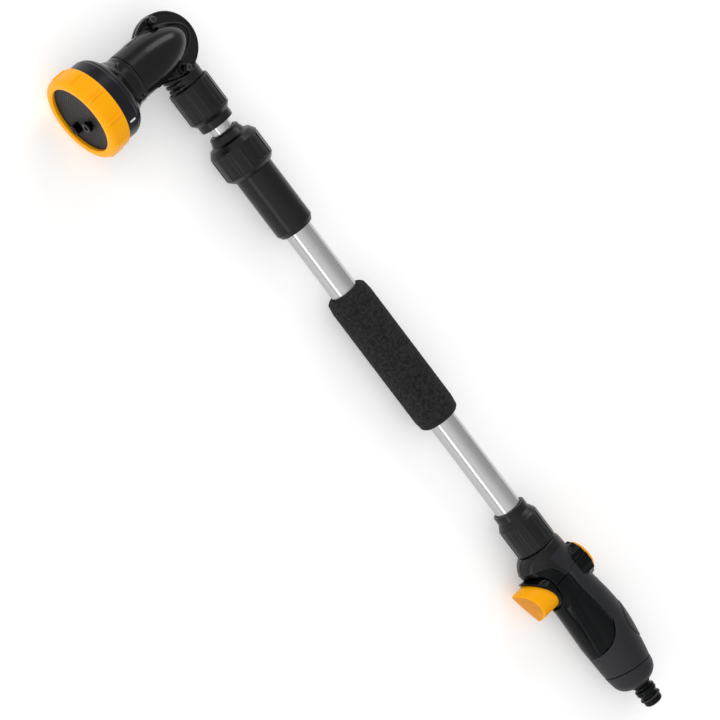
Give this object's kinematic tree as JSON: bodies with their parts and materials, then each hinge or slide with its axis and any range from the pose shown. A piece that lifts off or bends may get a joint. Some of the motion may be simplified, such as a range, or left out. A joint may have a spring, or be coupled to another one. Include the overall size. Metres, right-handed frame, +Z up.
{
  "type": "watering wand",
  "caption": "Telescopic watering wand: swivelling shower head on a clamped elbow, twist-locked aluminium lance, foam sleeve, and a hand grip with a push-through valve.",
  "frame": {"origin": "middle of the bounding box at its lowest plane, which is the surface that the wand lies on: the bezel, the lock nut and the grip touch it", "axes": "+X along the lance from the hose nipple to the head, +Y the side that the shower head and the front button point to, +Z up, along the head pivot axis"},
  "size_m": [0.6736, 0.12, 0.072],
  "materials": {
    "black_plastic": "moulded ABS, fine satin texture",
    "gloss_black_plastic": "smooth moulded plastic",
    "yellow_plastic": "moulded amber yellow plastic, semi gloss",
    "grey_plastic": "moulded dark grey plastic",
    "white_plastic": "printed or moulded white",
    "inner_plastic": "natural acetal and nylon, hidden inside",
    "aluminium": "drawn tube, satin anodised",
    "steel": "stainless steel",
    "rubber": "nitrile rubber",
    "soft_grip_rubber": "overmoulded thermoplastic rubber, matt",
    "foam": "closed cell sponge"
  },
  "bodies": {
    "handle": {"outer_tube": "aluminium", "foam_grip": "foam", "lock_sleeve": "black_plastic", "guide_bush": "inner_plastic", "handle_ferrule": "inner_plastic", "handle_seal": "rubber", "valve_block": "inner_plastic", "valve_housing": "black_plastic", "grip_shell": "black_plastic", "soft_grip": "soft_grip_rubber", "button_collar": "gloss_black_plastic", "end_cap": "soft_grip_rubber", "hose_nipple": "black_plastic", "nipple_o_ring": "rubber", "inlet_seal": "rubber", "inlet_screen": "steel"},
    "valve": {"valve_spool": "inner_plastic", "spool_o_ring_front": "rubber", "spool_o_ring_rear": "rubber", "front_button": "yellow_plastic", "rear_button": "yellow_plastic"},
    "handle_nut": {"handle_nut": "black_plastic"},
    "lock_nut": {"lock_nut": "black_plastic"},
    "lock_collet": {"lock_collet": "inner_plastic"},
    "piston": {"tube_piston": "inner_plastic", "piston_o_ring": "rubber"},
    "lance_tube": {"inner_tube": "aluminium", "elbow_ferrule": "inner_plastic", "elbow_seal": "rubber", "elbow_housing": "black_plastic"},
    "elbow_nut": {"elbow_nut": "black_plastic"},
    "head": {"head_arm": "black_plastic", "pivot_retainer": "black_plastic", "flange_screw_head_end": "steel", "flange_screw_lance_end": "steel", "pivot_o_ring": "rubber", "head_bell": "black_plastic", "index_mark": "white_plastic", "selector_plate": "inner_plastic"},
    "bezel": {"bezel_ring": "yellow_plastic", "spray_face": "grey_plastic", "jet_nozzle": "gloss_black_plastic", "fan_nozzle": "gloss_black_plastic", "face_seal": "rubber"}
  },
  "joints": [
    {"name": "valve_slide", "type": "slide", "parent": "handle", "child": "valve", "axis": [0, -1, 0], "range_m": [0, 0.008]},
    {"name": "handle_nut_turn", "type": "hinge", "parent": "handle", "child": "handle_nut", "pos_m": [-0.16425, -0.0338, 0.021], "axis": [1, 0, 0], "range_deg": [0, 180]},
    {"name": "lock_nut_turn", "type": "hinge", "parent": "handle", "child": "lock_nut", "pos_m": [0.20575, -0.0338, 0.021], "axis": [1, 0, 0], "range_deg": [0, 120]},
    {"name": "collet_slide", "type": "slide", "parent": "handle", "child": "lock_collet", "axis": [-1, 0, 0], "range_m": [0, 0.001]},
    {"name": "telescope_slide", "type": "slide", "parent": "handle", "child": "piston", "axis": [1, 0, 0], "range_m": [0, 0.24]},
    {"name": "lance_turn", "type": "hinge", "parent": "piston", "child": "lance_tube", "pos_m": [0.02075, -0.0338, 0.021], "axis": [1, 0, 0], "continuous": true},
    {"name": "elbow_nut_turn", "type": "hinge", "parent": "lance_tube", "child": "elbow_nut", "pos_m": [0.25075, -0.0338, 0.021], "axis": [1, 0, 0], "range_deg": [0, 180]},
    {"name": "head_pivot", "type": "hinge", "parent": "lance_tube", "child": "head", "pos_m": [0.30075, -0.0338, 0.021], "axis": [0, 0, 1], "range_deg": [-180, 0]},
    {"name": "bezel_turn", "type": "hinge", "parent": "head", "child": "bezel", "pos_m": [0.30075, 0.0512, 0.036], "axis": [0, 1, 0], "continuous": true}
  ],
  "couplings": [
    {"joint": "collet_slide", "follows": "lock_nut_turn", "m_per_rad": 0.00038}
  ]
}
